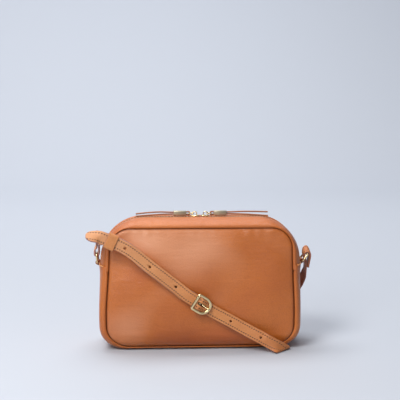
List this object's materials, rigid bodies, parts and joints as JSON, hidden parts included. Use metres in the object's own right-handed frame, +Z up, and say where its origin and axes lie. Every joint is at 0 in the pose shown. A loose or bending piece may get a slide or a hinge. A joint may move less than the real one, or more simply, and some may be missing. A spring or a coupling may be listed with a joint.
{
  "type": "sling bag",
  "caption": "Small rounded-box leather sling bag with a long top zip, side rings and an adjustable buckled shoulder strap laid over its front.",
  "frame": {"origin": "middle of the flat part of the base, on the surface the bag stands on", "axes": "+Z up, front panel toward -Y, +X to the right seen from the front"},
  "size_m": [0.2363, 0.1028, 0.1429],
  "materials": {
    "panel_leather": "satin, fine grain",
    "strap_leather": "satin, stitched",
    "zip_tape": "matte woven",
    "zip_metal": "polished",
    "hardware": "pale, polished",
    "tube_metal": "pale, satin",
    "lining": "matte woven",
    "lace_leather": "satin"
  },
  "bodies": {
    "bag": {"front_panel": "panel_leather", "back_panel": "panel_leather", "bottom_gusset": "panel_leather", "top_gusset_front": "panel_leather", "top_gusset_rear": "panel_leather", "ring_tab_left": "panel_leather", "ring_tab_right": "panel_leather", "zip_tape_front": "zip_tape", "zip_tape_rear": "zip_tape", "lining_front": "lining", "lining_back": "lining", "lining_gusset": "lining", "inner_pocket": "lining", "zip_teeth_front": "zip_metal", "zip_teeth_rear": "zip_metal", "zip_stop_left": "zip_metal", "zip_stop_right": "zip_metal", "strap_short": "strap_leather", "strap_long": "strap_leather"},
    "ring_left": {"ring_left": "hardware"},
    "ring_right": {"ring_right": "hardware"},
    "keeper": {"strap_keeper": "strap_leather"},
    "buckle": {"buckle_frame": "hardware"},
    "prong": {"buckle_prong": "hardware"},
    "slider_left": {"slider_left": "zip_metal"},
    "slider_right": {"slider_right": "zip_metal"},
    "link_left": {"pull_link_left": "zip_metal"},
    "link_right": {"pull_link_right": "zip_metal"},
    "pull_left": {"pull_tube_left": "tube_metal", "pull_lace_left": "lace_leather"},
    "pull_right": {"pull_tube_right": "tube_metal", "pull_lace_right": "lace_leather"}
  },
  "joints": [
    {"name": "ring_left_swing", "type": "hinge", "parent": "bag", "child": "ring_left", "pos_m": [-0.1081, 0, 0.0895], "axis": [0, -1, 0], "range_deg": [-5, 60], "deforming": ["strap_short"]},
    {"name": "ring_right_swing", "type": "hinge", "parent": "bag", "child": "ring_right", "pos_m": [0.1081, 0, 0.0895], "axis": [0, 1, 0], "range_deg": [-35, 40], "deforming": ["strap_long"]},
    {"name": "keeper_slide", "type": "slide", "parent": "bag", "child": "keeper", "axis": [0.9036, 0, -0.4283], "range_m": [0, 0.008]},
    {"name": "buckle_tilt", "type": "hinge", "parent": "bag", "child": "buckle", "pos_m": [-0.00204, -0.0386, 0.05155], "axis": [-0.5455, 0, -0.8381], "range_deg": [-3, 3]},
    {"name": "prong_swing", "type": "hinge", "parent": "buckle", "child": "prong", "pos_m": [-0.00204, -0.0386, 0.05155], "axis": [-0.5455, 0, -0.8381], "range_deg": [0, 25]},
    {"name": "slider_left_slide", "type": "slide", "parent": "bag", "child": "slider_left", "axis": [-1, 0, 0], "range_m": [0, 0.048], "deforming": ["zip_teeth_front", "zip_teeth_rear"]},
    {"name": "slider_right_slide", "type": "slide", "parent": "bag", "child": "slider_right", "axis": [1, 0, 0], "range_m": [0, 0.048], "deforming": ["zip_teeth_front", "zip_teeth_rear"]},
    {"name": "link_left_swing", "type": "hinge", "parent": "slider_left", "child": "link_left", "pos_m": [-0.0066, 0, 0.1402], "axis": [0, 1, 0], "range_deg": [0, 60]},
    {"name": "link_right_swing", "type": "hinge", "parent": "slider_right", "child": "link_right", "pos_m": [0.0066, 0, 0.1402], "axis": [0, -1, 0], "range_deg": [0, 60]},
    {"name": "pull_left_swing", "type": "hinge", "parent": "link_left", "child": "pull_left", "pos_m": [-0.0126, 0, 0.1402], "axis": [0, 1, 0], "range_deg": [0, 30]},
    {"name": "pull_right_swing", "type": "hinge", "parent": "link_right", "child": "pull_right", "pos_m": [0.0126, 0, 0.1402], "axis": [0, -1, 0], "range_deg": [0, 30]}
  ]
}
